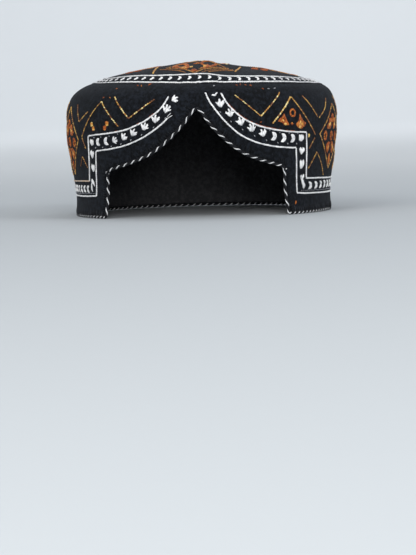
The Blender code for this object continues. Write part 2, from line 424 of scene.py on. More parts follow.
def stretch_at(lengths, wanted):
    """The stretch of a line that holds this length, and the share of it that is passed."""
    i = min(bisect.bisect_right(lengths, wanted) - 1, len(lengths) - 2)
    return i, (wanted - lengths[i]) / max(lengths[i + 1] - lengths[i], 1e-9)


def bearing_of(along):
    """The bearing, from the front, of a place this far round the band's widest girth."""
    i, share = stretch_at(girth_lengths, abs(along))
    return math.copysign((i + share) * 2 * math.pi / GIRTH_STEPS, along)


def band_point(along, height):
    section = band_section(height)
    bearing = bearing_of(along)
    x = section.drift + (RIM_HALF_WIDTH + section.out) * math.sin(bearing)
    y = -(RIM_HALF_LENGTH + section.out) * math.cos(bearing)
    rise = max((section.height - LEAN_START) / (BAND_SECTIONS[-1].height - LEAN_START), 0.0)
    return Vector((x, y, section.height - CROWN_LEAN * x * rise**2))


def on_side(along, side):
    """A distance from the arch's middle, taken to one side; the middle sits off the front's."""
    return side * along + ARCH_OFFSET * max(0.0, 1 - abs(along) / STEP_FOOT.along)


def half_edge(side):
    """The cloth's edge on one side, from the apex out, each place with the way out of the cloth."""
    mirrored = EdgePoint(-ARCH_EDGE[1].along, ARCH_EDGE[1].height)
    rows = [
        along_table(ARCH_EDGE, mirrored, STEP_FOOT, i / ARCH_POINTS) for i in range(ARCH_POINTS + 1)
    ]
    step = list(zip(ARCH_EDGE[-1], STEP_FOOT))
    for i in range(1, STEP_POINTS + 1):
        rows.append(EdgePoint(*(top + (foot - top) * i / STEP_POINTS for top, foot in step)))
    points = [(on_side(row.along, side), row.height) for row in rows]
    outer = (2 * points[0][0] - points[1][0], points[1][1])
    line = []
    for before, point, after in zip([outer, *points], points, points[1:]):
        run, rise = after[0] - before[0], after[1] - before[1]
        length = math.hypot(run, rise) * side
        line.append((point, (rise / length, -run / length)))
    corner = points[-1]
    first = math.atan2(line[-1][1][1], line[-1][1][0] * side)
    for i in range(CORNER_POINTS + 1):
        turn = first + (-0.5 * math.pi - first) * i / CORNER_POINTS
        line.append((corner, (math.cos(turn) * side, math.sin(turn))))
    run = side * HALF_GIRTH - corner[0]
    for i in range(1, RIM_POINTS + 1):
        line.append(((corner[0] + run * i / RIM_POINTS, BAND_FOOT), (0.0, -1.0)))
    return line


EdgePlace = namedtuple("EdgePlace", "face normal out")


def edge_place(along, height, out_along, out_up):
    """A place on the cut edge: its outer corner, the cloth's normal, and the way off the cloth."""
    across = band_point(along + 0.5, height) - band_point(along - 0.5, height)
    top = min(height + 0.5, BAND_SECTIONS[-1].height)
    upwards = band_point(along, top) - band_point(along, max(height - 0.5, BAND_FOOT))
    normal = across.cross(upwards).normalized()
    level = Vector((0, 0, 1)).cross(normal).normalized()
    up = normal.cross(level)
    if height <= BAND_FOOT and out_along == 0.0:
        normal = Vector((normal.x, normal.y, 0.0)).normalized()
        up = Vector((0, 0, 1))
    out = (level * out_along + up * out_up).normalized()
    return EdgePlace(band_point(along, height), normal, out)


def edge_line(depth, off):
    """A line once round the cut edge, this deep under the outer face and this far off the edge."""
    edge = half_edge(1) + list(reversed(half_edge(-1)[1:-1]))
    places = [edge_place(*place, *way) for place, way in edge]
    return [(p.face - p.normal * depth + p.out * off, p.normal) for p in places]


def evenly(places, gap):
    """Respaces a closed line of (point, normal) to an even gap."""
    closed = places + places[:1]
    lengths = [0.0]
    for (one, _), (two, _) in zip(closed, closed[1:]):
        lengths.append(lengths[-1] + (two - one).length)
    count = round(lengths[-1] / gap)
    even = []
    for i in range(count):
        k, share = stretch_at(lengths, lengths[-1] * i / count)
        (point, normal), (next_point, next_normal) = closed[k], closed[k + 1]
        even.append((point.lerp(next_point, share), normal.lerp(next_normal, share).normalized()))
    return even, lengths[-1]


def sewn_piece(name, corners, faces, grain):
    """A piece of thread that rides with the cap, with its grain as a UV map."""
    mesh = bpy.data.meshes.new(name)
    mesh.from_pydata(corners, [], faces)
    mesh.uv_layers.new(name="grain").data.foreach_set("uv", np.array(grain).ravel())
    mesh.shade_smooth()
    piece = bpy.data.objects.new(name, mesh)
    bpy.context.scene.collection.objects.link(piece)
    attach(piece, "root")
    return piece


def round_thread(name, centres, radius, length):
    """A closed round thread through these (centre, sideways) places."""
    count = len(centres)
    corners, faces, places = [], [], []
    for i, (centre, lean) in enumerate(centres):
        ahead = (centres[(i + 1) % count][0] - centres[i - 1][0]).normalized()
        lean = (lean - ahead * lean.dot(ahead)).normalized()
        across = ahead.cross(lean)
        for k in range(PLY_SIDES):
            turn = 2 * math.pi * k / PLY_SIDES
            spoke = lean * math.cos(turn) + across * math.sin(turn)
            corners.append((centre + spoke * radius) * MM)
    for i in range(count):
        j = (i + 1) % count
        for k in range(PLY_SIDES):
            m = (k + 1) % PLY_SIDES
            faces.append(
                (i * PLY_SIDES + k, i * PLY_SIDES + m, j * PLY_SIDES + m, j * PLY_SIDES + k)
            )
            start, end = i * length / count, (i + 1) * length / count
            low, high = k / PLY_SIDES, (k + 1) / PLY_SIDES
            places += [(start, low), (start, high), (end, high), (end, low)]
    thread = sewn_piece(name, corners, faces, places)
    return thread


def wound(line, start_turn, aside):
    """The places of a thread that winds round the cord's centreline, more tightly on the rim."""
    turns = [0.0]
    for point, _ in line:
        turns.append(turns[-1] + 1 / (RIM_PITCH if point.z < RIM_TOP else ARCH_PITCH))
    whole = round(turns[-1] * CORD_STEP) / turns[-1]
    count = len(line)
    centres = []
    for i, (point, normal) in enumerate(line):
        ahead = (line[(i + 1) % count][0] - line[i - 1][0]).normalized()
        normal = (normal - ahead * normal.dot(ahead)).normalized()
        turn = start_turn - 2 * math.pi * whole * turns[i]
        lean = normal * math.cos(turn) + ahead.cross(normal) * math.sin(turn)
        sunk = RIM_SUNK if point.z < RIM_TOP else 1.0
        centres.append((point + lean * aside * sunk, lean))
    return centres


def ply_finish(name, deep, bright, gloss):
    """A spun cotton thread: fine strands that wind round it, and a little fluff. Its colour is
    painted darker in the grooves between the strands: painted shade.
    """
    finish = Finish(name, Sheen_Weight=0.03, Sheen_Roughness=0.5, Specular_IOR_Level=gloss)
    _, along, around = finish.grain()
    place = finish.place()
    fluff = finish.noise(place, 1900.0, 3.0, 0.6)
    strands = (along * (2 * math.pi / 1.3) + around * (2 * math.pi * 3) + fluff * 1.8).wave()
    ridge = strands * 0.5 + 0.5
    soil = finish.noise(place, 190.0, 3.0).rise(0.35, 0.7)
    # Painted shade: the strands' ridge makes the colour paler on their crowns and darker in the
    # grooves; fluff and soil add random tone.
    finish.feed("Base Color", finish.mix(ridge * 0.5 + fluff * 0.35 + soil * 0.3, deep, bright))
    finish.feed("Roughness", fluff * 0.15 + 0.62)
    finish.relief(ridge * 0.7 + fluff * 0.4, 0.11, 0.9)
    return finish.material


cord_places, cord_length = evenly(edge_line(CORD_DEPTH, CORD_RADIUS + SEWN_GAP), CORD_STEP)
white_ply = round_thread(
    "cord_white_ply", wound(cord_places, math.pi, WHITE_PLY_ASIDE), WHITE_PLY_RADIUS, cord_length
)
white_cord_cotton = ply_finish("white_cord_cotton", WHITE_PLY_DEEP, WHITE_PLY, gloss=0.35)
white_ply.data.materials.append(white_cord_cotton)
black_ply = round_thread(
    "cord_black_ply", wound(cord_places, 0.0, BLACK_PLY_ASIDE), BLACK_PLY_RADIUS, cord_length
)
black_cord_cotton = ply_finish("black_cord_cotton", BLACK_PLY_DEEP, BLACK_PLY, gloss=0.15)
black_ply.data.materials.append(black_cord_cotton)
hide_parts("edge_cord")
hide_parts("edge_cord")
hem_places, hem_length = evenly(edge_line(BAND_THICKNESS / 2, HEM_OFF), HEM_STEP)
hem = round_thread("turned_hem", hem_places, HEM_RADIUS, hem_length)
hem.data.materials.append(black_cord_cotton)


# The seam and the whipping: black thread sewn over the join of crown and band and over the
# edge cord, in short slanted stitches. One stitch is modelled, and the rest are its copies.
STITCH_SIDES = 6
STITCH_DROP = 0.75
SEAM_STITCHES = 330
SEAM_SLANT = 0.0016
WHIP_PITCH = 1.5
BLACK_THREAD_DEEP = (0.0010, 0.0012, 0.0020, 1.0)
BLACK_THREAD = (0.045, 0.048, 0.056, 1.0)
ABOVE_CAP = 150.0
OUTSIDE_RIM = 30.0
Stitch = namedtuple("Stitch", "start end width shade")
hand = random.Random(48)

bpy.ops.object.select_all(action="DESELECT")
bpy.ops.mesh.primitive_cylinder_add(
    vertices=STITCH_SIDES, radius=1, depth=1, end_fill_type="TRIFAN", rotation=(0, math.pi / 2, 0)
)
stitch_form = bpy.context.object
bpy.ops.object.transform_apply(location=True, rotation=True, scale=True)
bpy.ops.object.mode_set(mode="EDIT")
for cut in (-0.25, 0.0, 0.25):
    bpy.ops.mesh.select_all(action="SELECT")
    bpy.ops.mesh.bisect(plane_co=(cut, 0, 0), plane_no=(1, 0, 0))
bpy.ops.mesh.select_mode(type="VERT")
for reach, girth, lift in ((0.0, 1.0, 0.35), (0.25, 0.93, 0.12), (0.5, 0.55, -STITCH_DROP)):
    for end in (-1, 1) if reach else (1,):
        bpy.ops.mesh.select_all(action="DESELECT")
        bpy.ops.object.mode_set(mode="OBJECT")
        for vertex in stitch_form.data.vertices:
            vertex.select = abs(vertex.co.x - reach * end) < 0.01
        bpy.ops.object.mode_set(mode="EDIT")
        bpy.ops.transform.resize(value=(1, girth, girth), center_override=(reach * end, 0, 0))
        bpy.ops.transform.translate(value=(0, 0, lift))
bpy.ops.object.mode_set(mode="OBJECT")
for vertex in stitch_form.data.vertices:
    if math.hypot(vertex.co.y, vertex.co.z + STITCH_DROP) < 0.02 and abs(vertex.co.x) > 0.49:
        vertex.co.x *= 1.08
        vertex.co.z -= 0.35
bpy.ops.object.mode_set(mode="EDIT")
bpy.ops.mesh.select_all(action="SELECT")
bpy.ops.mesh.normals_make_consistent(inside=False)
bpy.ops.object.mode_set(mode="OBJECT")
stitch_points = np.array([vertex.co for vertex in stitch_form.data.vertices])
stitch_faces = [tuple(face.vertices) for face in stitch_form.data.polygons]
stitch_grain = []
for face in stitch_faces:
    turns = [math.atan2(stitch_points[c][1], stitch_points[c][2]) / (2 * math.pi) for c in face]
    for corner, turn in zip(face, turns):
        turn -= round(turn - turns[0])
        stitch_grain.append((stitch_points[corner][0] + 0.5, turn))
bpy.data.objects.remove(stitch_form)


def face_tree(item):
    """The finished surface of a piece, ready to be sewn on."""
    return BVHTree.FromObject(item, bpy.context.evaluated_depsgraph_get())


band_skin = face_tree(side_band)
crown_skin = face_tree(crown_top)


def on_band(along, height):
    """The place and normal of the band's outer face, met from outside along a spoke."""
    bearing = bearing_of(along)
    across, ahead = math.sin(bearing), -math.cos(bearing)
    spoke = Vector((across, ahead, 0.0))
    half_width, half_length = RIM_HALF_WIDTH + OUTSIDE_RIM, RIM_HALF_LENGTH + OUTSIDE_RIM
    start = Vector((half_width * across, half_length * ahead, height))
    place, normal, _, _ = band_skin.ray_cast(start * MM, -spoke, 2 * OUTSIDE_RIM * MM)
    if place is None or normal.dot(spoke) < 0.05:
        place, normal, _, _ = band_skin.find_nearest((start - spoke * (OUTSIDE_RIM + 3)) * MM)
    return place, normal


def from_above(skin, x, y, else_near):
    """The place and normal below a point, or else the one nearest to it at this height."""
    place, normal, _, _ = skin.ray_cast(Vector((x, y, ABOVE_CAP)) * MM, Vector((0, 0, -1)))
    if place is None:
        place, normal, _, _ = skin.find_nearest(Vector((x, y, else_near)) * MM)
    return place, normal


def on_crown(x, y):
    """The place and normal of the crown's upper face."""
    return from_above(crown_skin, x, y, else_near=84.0)


def sew(name, surface, stitches, finish, height=0.27):
    """Many copies of the stitch as one piece, each laid from start to end on a surface."""
    points, shades = [], []
    for stitch in stitches:
        (start, start_up), (end, end_up) = surface(*stitch.start), surface(*stitch.end)
        run = end - start
        if run.length < 0.2 * MM:
            continue
        ahead = run.normalized()
        side = (start_up + end_up).cross(ahead).normalized()
        up = ahead.cross(side)
        form = np.array([run, side * (stitch.width / 2 * MM), up * (height * MM)])
        middle = (start + end) / 2 + up * (height * 0.45 * MM)
        points.append(stitch_points @ form + np.array(middle))
        shades += [stitch.shade] * len(stitch_points)
    starts = range(0, len(points) * len(stitch_points), len(stitch_points))
    faces = [tuple(start + corner for corner in face) for start in starts for face in stitch_faces]
    piece = sewn_piece(name, np.concatenate(points).tolist(), faces, stitch_grain * len(points))
    shade = piece.data.attributes.new("shade", "FLOAT", "POINT")
    shade.data.foreach_set("value", np.array(shades, np.float32))
    piece.data.materials.append(finish)


def thread_finish(name, stops, roughness, gloss, sheen):
    """Embroidery thread: each stitch has its own shade, and fine strands wind along it. The colour
    is painted a little darker in the grooves between the strands: painted shade.
    """
    finish = Finish(name, Sheen_Weight=sheen, Sheen_Roughness=0.4, Specular_IOR_Level=gloss)
    _, along, around = finish.grain()
    place = finish.place()
    fluff = finish.noise(place, 2200.0, 2.0, 0.6)
    strands = (along * 9.0 + around * (2 * math.pi * 4) + fluff * 2.0).wave() * 0.5 + 0.5
    shade = finish.node("ShaderNodeAttribute", {"attribute_name": "shade"}, {}, 2)
    # Painted shade: the strands make the colour a little darker in the grooves between them; the
    # stitch's own shade and the fluff are random tone.
    tone = shade + strands * 0.14 + fluff * 0.2 - 0.17
    colour = finish.node("ShaderNodeValToRGB", {"stops": stops}, {0: tone})
    finish.feed("Base Color", colour)
    finish.feed("Roughness", fluff * 0.2 + (roughness - 0.1))
    finish.relief(strands * 0.8 + fluff * 0.3, 0.07, 0.8)
    return finish.material


black_dyes = [(0.0, BLACK_THREAD_DEEP), (1.0, BLACK_THREAD)]
black_thread = thread_finish(
    "black_sewing_thread", black_dyes, roughness=0.65, gloss=0.15, sheen=0.02
)


def over_seam(along, out):
    """A place beside the seam: out is millimetres from it, + on the band and - on the crown."""
    bearing = 2 * math.pi * along
    half_width, half_length = CROWN_HALF_WIDTH + out, CROWN_HALF_LENGTH + out
    x = CROWN_MIDDLE + half_width * math.sin(bearing)
    y = -half_length * math.cos(bearing)
    return from_above(band_skin if out > 0 else crown_skin, x, y, else_near=83.0)


seam_stitches = []
for i in range(SEAM_STITCHES):
    start = (i + hand.uniform(-0.15, 0.15)) / SEAM_STITCHES
    seam_stitches.append(
        Stitch((start, 0.75), (start + SEAM_SLANT, -0.85), 0.62, hand.uniform(0.0, 0.45))
    )
sew("crown_seam_stitches", over_seam, seam_stitches, black_thread, height=0.2)


def over_edge(along, height, out_along, out_up, reach):
    """A place by the cut edge: off it on the cord's face, or this far up the cloth."""
    if reach < 0:
        return on_band(along + out_along * reach, height + out_up * reach)
    place = edge_place(along, height, out_along, out_up)
    return (place.face + place.normal * 0.12 + place.out * reach) * MM, place.normal


whip_stitches = []
for side in (1, -1):
    since = 0.0
    edge = half_edge(side)
    for (before, _), (place, way) in zip(edge, edge[1:]):
        since += math.dist(before, place)
        if since > WHIP_PITCH:
            since = 0.0
            slip = hand.uniform(0.4, 0.8)
            up_along, up_height = place[0] + way[1] * slip, place[1] - way[0] * slip
            shades = (0.2, 1.0) if place[1] <= BAND_FOOT else (0.0, 0.2)
            whip_stitches.append(
                Stitch(
                    (*place, *way, hand.uniform(0.5, 0.9)),
                    (up_along, up_height, *way, hand.uniform(-3.4, -2.2)),
                    0.38,
                    hand.uniform(*shades),
                )
            )
sew("edge_whip_stitches", over_edge, whip_stitches, black_thread, height=0.16)


# The white border: two lines of white cotton in rope stitch that follow the cut edge. Between
# them are satin-stitched buds up the arch, then chevrons, hearts, and arrowheads to the back.
WHITE_SHADOW = (0.26, 0.27, 0.30, 1.0)
WHITE_COTTON = (0.68, 0.68, 0.69, 1.0)
WHITE_BRIGHT = (0.90, 0.90, 0.89, 1.0)
ROPE_PITCH = 1.35
ROPE_SLANT = 0.27
ROPE_WIDTH = 0.86
STRIP_END = 82.0
HOLD_BELOW = 3.9
HOLD_ABOVE = 2.5
LINE_NEAR_EDGE_LEFT = [
    [(-14.7, 61.6), (-19.5, 57.4), (-26.3, 53.0), (-33.4, 49.4), (-44.9, 45.6), (-58.0, 43.5),
     (-72.4, 42.2)],
    [(-72.4, 42.2), (-75.3, 30.4), (-79.8, 14.1)],
    [(-79.8, 14.1), (-97.5, 13.6), (-128.8, 13.4), (-180.0, 12.8), (-HALF_GIRTH, 12.5)],
]
LINE_NEAR_EDGE_RIGHT = [
    [(9.1, 76.7), (11.2, 71.5), (16.4, 64.1), (21.3, 58.2), (29.9, 50.8), (40.0, 46.0),
     (51.0, 43.3), (63.2, 41.8), (73.2, 41.3)],
    [(73.2, 41.3), (75.7, 27.4), (78.1, 13.2)],
    [(78.1, 13.2), (93.8, 12.5), (140.1, 11.9), (190.0, 12.3), (HALF_GIRTH, 12.5)],
]
LINE_ABOVE_LEFT = [
    [(-14.3, 74.9), (-18.2, 68.6), (-24.6, 63.3), (-32.8, 58.9), (-44.1, 55.1), (-56.7, 53.3),
     (-68.3, 52.5), (-80.2, 51.6)],
    [(-80.2, 51.6), (-82.7, 36.6), (-87.0, 23.3)],
    [(-150.0, 22.4), (-200.0, 22.0), (-HALF_GIRTH, 21.8)],
]
LINE_ABOVE_TAN = [(-87.0, 23.3), (-100.0, 23.1), (-115.3, 22.8), (-150.0, 22.4)]
LINE_ABOVE_RIGHT = [
    [(19.1, 76.2), (21.8, 70.6), (25.9, 65.7), (33.3, 59.7), (43.5, 55.4), (54.5, 53.0),
     (66.9, 51.4), (83.1, 50.6)],
    [(83.1, 50.6), (84.6, 39.5), (87.5, 22.0)],
    [(87.5, 22.0), (108.0, 21.5), (136.3, 20.9), (190.0, 21.5), (HALF_GIRTH, 21.8)],
]


def smooth_run(points, pitch):
    """Evenly spaced places along a smooth line through these points."""
    first = tuple(2 * a - b for a, b in zip(points[0], points[1]))
    last = tuple(2 * a - b for a, b in zip(points[-1], points[-2]))
    padded = [first, *points, last]
    fine = []
    for near in zip(padded, padded[1:], padded[2:], padded[3:]):
        fine += [tuple(catmull_rom(*v, k / 24) for v in zip(*near)) for k in range(24)]
    fine.append(points[-1])
    lengths = [0.0]
    for one, two in zip(fine, fine[1:]):
        lengths.append(lengths[-1] + math.dist(one, two))
    count = max(1, round(lengths[-1] / pitch))
    even = []
    for i in range(count + 1):
        k, share = stretch_at(lengths, lengths[-1] * i / count)
        even.append(tuple(a + (b - a) * share for a, b in zip(fine[k], fine[k + 1])))
    return even


def beside(one, two, place, offset):
    """A place moved sideways from the line between two others."""
    run, rise = two[0] - one[0], two[1] - one[1]
    length = max(math.hypot(run, rise), 1e-9)
    return (place[0] - rise / length * offset, place[1] + run / length * offset)


def slanted(one, two, drift, slant, width, shade):
    """A stitch from place to place that drifts off the line between them and slants across it."""
    ends = beside(one, two, one, drift - slant), beside(one, two, two, drift + slant)
    return Stitch(*ends, width, shade)


def rope_line(points, width=ROPE_WIDTH, shades=(0.35, 0.95)):
    """Stem stitches that overlap like the strands of a rope."""
    places = smooth_run(points, ROPE_PITCH)
    stitches = []
    for one, two in zip(places[:1] + places[:-1], places[1:] + places[-1:]):
        drift = hand.uniform(-0.08, 0.08)
        girth = width * hand.uniform(0.82, 1.15)
        stitches.append(slanted(one, two, drift, ROPE_SLANT, girth, hand.uniform(*shades)))
    return stitches


def nested_vees(half_width, tips, middle, gap):
    """Four V-shaped strands, one below the other."""
    return [
        ((half_width * side, tips - gap * k), (-0.15 * side, middle - gap * k))
        for k in range(4)
        for side in (-1, 1)
    ]


# Each form is a handful of strands, in millimetres, with its points upwards.
BUD = [
    ((-1.95, 0.8), (-1.5, -1.5)), ((-1.2, 1.3), (-0.9, -2.2)), ((-0.4, 1.2), (-0.3, -2.6)),
    ((0.4, 1.3), (0.4, -2.6)), ((1.2, 1.2), (1.0, -2.1)), ((1.9, 0.8), (1.6, -1.4)),
    ((-0.9, -0.6), (-3.1, 1.2)), ((-1.2, -0.9), (-2.9, 0.7)), ((-0.4, 0.3), (-0.6, 2.9)),
    ((0.0, 0.2), (-0.1, 3.1)), ((0.9, -0.2), (2.5, 2.1)), ((1.1, -0.6), (2.8, 1.6)),
    ((1.3, -1.2), (2.9, 0.6)),
]
SPLIT_BUD = [
    ((-1.8, 0.6), (-1.3, -1.6)), ((-1.0, 0.9), (-0.8, -2.2)), ((-0.2, 0.7), (-0.1, -2.6)),
    ((0.6, 1.0), (0.6, -2.4)), ((1.4, 0.8), (1.2, -1.8)), ((-1.1, -0.8), (-3.0, 0.8)),
    ((-1.1, -0.5), (-2.8, 1.3)), ((-0.3, 0.0), (-0.9, 3.0)), ((0.0, 0.1), (-0.5, 2.9)),
    ((0.9, 0.0), (1.4, 2.8)), ((1.2, -0.2), (1.9, 2.4)), ((1.2, -0.9), (3.0, 0.6)),
]
FLAT_BUD = [
    ((-2.6, 0.3), (-0.6, -0.9)), ((-2.0, 0.6), (0.2, -1.0)), ((-0.9, 0.3), (0.9, -0.9)),
    ((0.2, 0.2), (2.2, 0.6)), ((0.4, -0.3), (2.6, 1.4)),
]
ARROWHEAD = nested_vees(2.45, 2.35, 0.15, 0.74)
CHEVRON = nested_vees(2.5, 1.8, 0.25, 0.7)
CHEVRON += [((-2.3, 1.8), (-2.2, -0.5)), ((2.3, 1.8), (2.2, -0.5))]
HEART = [
    ((-2.0, 1.9), (-1.3, -1.3)), ((-1.4, 2.6), (-0.8, -2.1)), ((-0.7, 2.5), (-0.3, -2.6)),
    ((0.0, 1.7), (0.0, -2.8)), ((0.7, 2.3), (0.4, -2.6)), ((1.4, 2.5), (0.9, -2.1)),
    ((2.0, 1.8), (1.4, -1.2)),
]
WIDE_HEART = [
    ((1.2 * u, 0.78 * v), (1.2 * end_u, 0.78 * end_v)) for (u, v), (end_u, end_v) in HEART
]
SHIELD = [
    ((-1.8, 1.9), (-1.3, -1.6)), ((-1.2, 2.5), (-0.8, -2.2)), ((-0.5, 2.1), (-0.3, -2.5)),
    ((0.1, 1.8), (0.2, -2.5)), ((0.8, 2.4), (0.7, -2.4)), ((1.4, 2.5), (1.2, -2.1)),
    ((1.9, 1.9), (1.7, -1.4)),
]
CLAW = [
    ((-0.2, 2.2), (-1.7, -0.4)), ((-0.6, 1.8), (-2.1, -0.9)), ((-1.9, 0.4), (-1.8, -3.6)),
    ((-1.3, 0.6), (-1.2, -4.0)), ((0.0, 4.2), (-0.1, 1.2)), ((0.6, 4.0), (0.7, 0.8)),
    ((1.2, 3.4), (1.5, 0.2)), ((1.8, 2.6), (2.3, -0.2)),
]
HOOK = [
    ((-3.2, 4.1), (-2.4, 1.5)), ((-2.5, 4.4), (-1.8, 1.7)), ((0.2, 4.7), (-2.0, 1.9)),
    ((0.9, 4.2), (-1.3, 1.5)), ((-2.3, 2.0), (-0.3, -2.0)), ((-1.5, 2.0), (0.6, -2.6)),
    ((-0.7, 1.8), (1.4, -2.2)), ((-0.7, -0.2), (0.6, -4.2)), ((0.3, 0.0), (1.4, -4.5)),
    ((1.1, -0.2), (2.2, -4.1)), ((1.5, -0.8), (2.8, -3.4)),
]
BLOCK = [
    ((-2.0, 1.7), (-1.8, -1.3)), ((-1.3, 2.2), (-1.1, -1.8)), ((-0.6, 1.7), (-0.5, -2.1)),
    ((0.1, 2.3), (0.1, -2.2)), ((0.8, 1.7), (0.6, -2.1)), ((1.4, 2.2), (1.2, -1.8)),
    ((2.0, 1.7), (1.8, -1.2)),
]
Motif = namedtuple("Motif", "form along height points_to size")
MOTIFS_RIGHT = [
    Motif(FLAT_BUD, 15.1, 75.3, 100, 0.75),
    Motif(BUD, 18.1, 69.9, 94, 0.92),
    Motif(SPLIT_BUD, 23.9, 63.9, 98, 0.95),
    Motif(BUD, 30.4, 58.6, 104, 0.95),
    Motif(SPLIT_BUD, 37.7, 54.3, 100, 0.95),
    Motif(BUD, 45.5, 51.1, 112, 0.9),
    Motif(CHEVRON, 54.0, 48.7, 170, 1.0),
    Motif(CHEVRON, 61.7, 47.7, 176, 1.03),
    Motif(CHEVRON, 69.8, 47.2, 178, 0.98),
    Motif(BLOCK, 77.9, 47.2, 90, 1.05),
    Motif(WIDE_HEART, 79.4, 39.3, 90, 1.05),
    Motif(SHIELD, 80.5, 30.8, 90, 1.12),
    Motif(HOOK, 84.2, 20.0, 92, 1.0),
]
MOTIFS_LEFT = [
    Motif(BUD, -10.4, 73.2, 24, 0.74),
    Motif(SPLIT_BUD, -15.3, 67.3, 68, 0.95),
    Motif(BUD, -22.5, 61.4, 80, 0.92),
    Motif(SPLIT_BUD, -29.9, 56.8, 66, 0.92),
    Motif(BUD, -38.2, 53.3, 58, 0.86),
    Motif(BUD, -45.5, 50.8, 52, 0.84),
    Motif(SPLIT_BUD, -53.5, 48.9, 30, 0.8),
    Motif(CHEVRON, -61.2, 48.2, 12, 0.92),
    Motif(CHEVRON, -69.3, 47.8, 6, 0.9),
    Motif(BLOCK, -76.5, 47.6, 80, 0.9),
    Motif(HEART, -77.7, 40.2, 76, 0.95),
    Motif(SHIELD, -79.2, 31.7, 80, 0.95),
    Motif(CLAW, -83.6, 20.6, 86, 1.04),
]
ARROWS_RIGHT = 25
ARROWS_LEFT = 33
ARROWS_RIGHT_START = 93.8
ARROWS_LEFT_START = -92.4
ARROWS_RIGHT_RUN = HALF_GIRTH - 91.0
ARROWS_LEFT_RUN = HALF_GIRTH - 89.5
ARROWS_RIGHT_HEIGHT = 17.2
ARROWS_LEFT_HEIGHT = 18.2


def laid(line, x, y, degrees, size=1.0):
    """A line's places, turned by these degrees, made this size and moved to a place."""
    turn = math.radians(degrees)
    cosine, sine = math.cos(turn) * size, math.sin(turn) * size
    return [(x + u * cosine - v * sine, y + u * sine + v * cosine) for u, v in line]


def motif_stitches(motif, width=0.85, shades=(0.3, 0.95)):
    """A bud or arrowhead, turned so that its points face the way they should."""
    stitches = []
    for strand in motif.form:
        slipped = [tuple(w + hand.uniform(-0.15, 0.15) for w in place) for place in strand]
        ends = laid(slipped, motif.along, motif.height, motif.points_to - 90, motif.size)
        stitches.append(Stitch(*ends, width * hand.uniform(0.9, 1.1), hand.uniform(*shades)))
    return stitches


white_stitches = []
for run in LINE_NEAR_EDGE_LEFT + LINE_NEAR_EDGE_RIGHT + LINE_ABOVE_LEFT + LINE_ABOVE_RIGHT:
    white_stitches += rope_line(run)
# The left line starts frayed, with two loose strands.
white_stitches += [
    Stitch((-11.6, 63.4), (-15.8, 60.9), 0.5, 0.6),
    Stitch((-12.4, 64.9), (-15.2, 62.3), 0.4, 0.5),
]
border_motifs = MOTIFS_RIGHT + MOTIFS_LEFT
for i in range(ARROWS_RIGHT):
    along = ARROWS_RIGHT_START + i / ARROWS_RIGHT * ARROWS_RIGHT_RUN
    border_motifs.append(Motif(ARROWHEAD, along, ARROWS_RIGHT_HEIGHT, 180, 0.95))
for i in range(ARROWS_LEFT):
    share = i / ARROWS_LEFT
    along = ARROWS_LEFT_START - share * ARROWS_LEFT_RUN
    border_motifs.append(Motif(ARROWHEAD[:6], along, ARROWS_LEFT_HEIGHT - share, 0, 0.92))
for motif in border_motifs:
    white_stitches += motif_stitches(motif)
# Small stitches hold the threads between the buds, and a row of them runs above the foot line.
for line in (MOTIFS_RIGHT[1:10], MOTIFS_LEFT[1:10]):
    for one, two in zip(line, line[1:]):
        middle = ((one.along + two.along) / 2, (one.height + two.height) / 2)
        start, end = (one.along, one.height), (two.along, two.height)
        side = 1 if two.along > 0 else -1
        low = beside(start, end, middle, -HOLD_BELOW * side)
        high = beside(start, end, middle, HOLD_ABOVE * side)
        white_stitches.append(Stitch(low, (low[0] - 0.7 * side, low[1] + 0.9), 0.45, 0.15))
        white_stitches.append(Stitch(high, (high[0] + 0.3 * side, high[1] + 0.9), 0.38, 0.0))
for side, foot_line in ((1, LINE_NEAR_EDGE_RIGHT[2]), (-1, LINE_NEAR_EDGE_LEFT[2])):
    for along, height in smooth_run(foot_line, 2.4):
        if abs(along) > STRIP_END:
            start = (along + hand.uniform(-0.3, 0.3), height + hand.uniform(1.5, 1.9))
            white_stitches.append(Stitch(start, (start[0] + 0.8, start[1]), 0.36, 0.0))
white_dyes = [(0.0, WHITE_SHADOW), (0.5, WHITE_COTTON), (1.0, WHITE_BRIGHT)]
white_thread = thread_finish(
    "white_embroidery_cotton", white_dyes, roughness=0.62, gloss=0.35, sheen=0.1
)
sew("band_white_border", on_band, white_stitches, white_thread, height=0.34)


